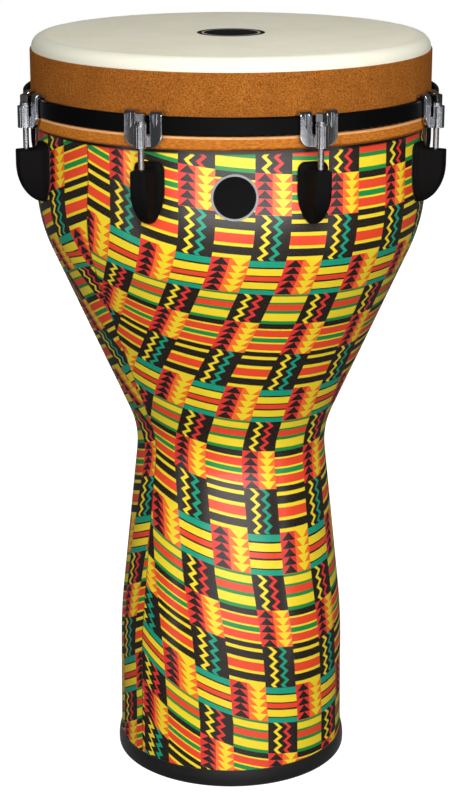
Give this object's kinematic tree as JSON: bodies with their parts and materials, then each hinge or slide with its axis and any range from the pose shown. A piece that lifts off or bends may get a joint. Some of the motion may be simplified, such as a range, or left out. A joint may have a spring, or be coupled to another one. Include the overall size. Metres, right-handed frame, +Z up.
{
  "type": "djembe",
  "caption": "Goblet-shaped hand drum with a cloth-wrapped shell, flat film head, black hoop, chrome claws and rods, black lugs and a rubber foot ring.",
  "frame": {"origin": "centre of the foot ring's flat underside", "axes": "+Z up along the drum's axis towards the playing head, -Y towards the badge"},
  "size_m": [0.3206, 0.3206, 0.5873],
  "materials": {
    "shell_composite": "dark moulded fibre-reinforced composite, satin",
    "wrap_cloth": "woven strip cloth laminated under a satin coat",
    "foot_rubber": "satin black",
    "badge_black": "gloss black",
    "badge_rim": "bright",
    "head_film": "coated film, slightly mottled",
    "head_cover": "speckled brown, hide-like, satin",
    "flesh_hoop_metal": "mill",
    "hoop_black": "satin black powder coat",
    "claw_chrome": "polished",
    "rod_chrome": "plated",
    "lug_black": "satin gloss black",
    "gasket_rubber": "matt",
    "fastener_steel": "zinc plated"
  },
  "bodies": {
    "drum_shell": {"shell": "shell_composite", "printed_wrap": "wrap_cloth", "foot_ring": "foot_rubber", "badge_plate": "badge_black", "badge_ring": "badge_rim", "lug_1": "lug_black", "lug_2": "lug_black", "lug_3": "lug_black", "lug_4": "lug_black", "lug_5": "lug_black", "lug_6": "lug_black", "lug_7": "lug_black", "lug_8": "lug_black", "lug_nuts": "fastener_steel", "lug_gaskets": "gasket_rubber", "lug_screws": "fastener_steel", "lug_washers": "fastener_steel"},
    "head": {"drumhead_film": "head_film", "collar_band": "head_cover", "flesh_hoop": "flesh_hoop_metal", "hoop_wrap": "head_cover", "counter_hoop": "hoop_black", "claw_1": "claw_chrome", "claw_2": "claw_chrome", "claw_3": "claw_chrome", "claw_4": "claw_chrome", "claw_5": "claw_chrome", "claw_6": "claw_chrome", "claw_7": "claw_chrome", "claw_8": "claw_chrome", "rod_washers": "rod_chrome"},
    "rod_1": {"tension_rod_1": "rod_chrome"},
    "rod_2": {"tension_rod_2": "rod_chrome"},
    "rod_3": {"tension_rod_3": "rod_chrome"},
    "rod_4": {"tension_rod_4": "rod_chrome"},
    "rod_5": {"tension_rod_5": "rod_chrome"},
    "rod_6": {"tension_rod_6": "rod_chrome"},
    "rod_7": {"tension_rod_7": "rod_chrome"},
    "rod_8": {"tension_rod_8": "rod_chrome"}
  },
  "joints": [
    {"name": "head_tension", "type": "slide", "parent": "drum_shell", "child": "head", "axis": [0, 0, 1], "range_m": [0, 0.006]},
    {"name": "rod_1_turn", "type": "hinge", "parent": "head", "child": "rod_1", "pos_m": [0.06295, -0.15198, 0.515], "axis": [0, 0, 1], "range_deg": [0, 2700.5]},
    {"name": "rod_2_turn", "type": "hinge", "parent": "head", "child": "rod_2", "pos_m": [0.15198, -0.06295, 0.515], "axis": [0, 0, 1], "range_deg": [0, 2700.5]},
    {"name": "rod_3_turn", "type": "hinge", "parent": "head", "child": "rod_3", "pos_m": [0.15198, 0.06295, 0.515], "axis": [0, 0, 1], "range_deg": [0, 2700.5]},
    {"name": "rod_4_turn", "type": "hinge", "parent": "head", "child": "rod_4", "pos_m": [0.06295, 0.15198, 0.515], "axis": [0, 0, 1], "range_deg": [0, 2700.5]},
    {"name": "rod_5_turn", "type": "hinge", "parent": "head", "child": "rod_5", "pos_m": [-0.06295, 0.15198, 0.515], "axis": [0, 0, 1], "range_deg": [0, 2700.5]},
    {"name": "rod_6_turn", "type": "hinge", "parent": "head", "child": "rod_6", "pos_m": [-0.15198, 0.06295, 0.515], "axis": [0, 0, 1], "range_deg": [0, 2700.5]},
    {"name": "rod_7_turn", "type": "hinge", "parent": "head", "child": "rod_7", "pos_m": [-0.15198, -0.06295, 0.515], "axis": [0, 0, 1], "range_deg": [0, 2700.5]},
    {"name": "rod_8_turn", "type": "hinge", "parent": "head", "child": "rod_8", "pos_m": [-0.06295, -0.15198, 0.515], "axis": [0, 0, 1], "range_deg": [0, 2700.5]}
  ],
  "couplings": [
    {"joint": "rod_1_turn", "follows": "head_tension", "rad_per_m": 7854},
    {"joint": "rod_2_turn", "follows": "head_tension", "rad_per_m": 7854},
    {"joint": "rod_3_turn", "follows": "head_tension", "rad_per_m": 7854},
    {"joint": "rod_4_turn", "follows": "head_tension", "rad_per_m": 7854},
    {"joint": "rod_5_turn", "follows": "head_tension", "rad_per_m": 7854},
    {"joint": "rod_6_turn", "follows": "head_tension", "rad_per_m": 7854},
    {"joint": "rod_7_turn", "follows": "head_tension", "rad_per_m": 7854},
    {"joint": "rod_8_turn", "follows": "head_tension", "rad_per_m": 7854}
  ]
}
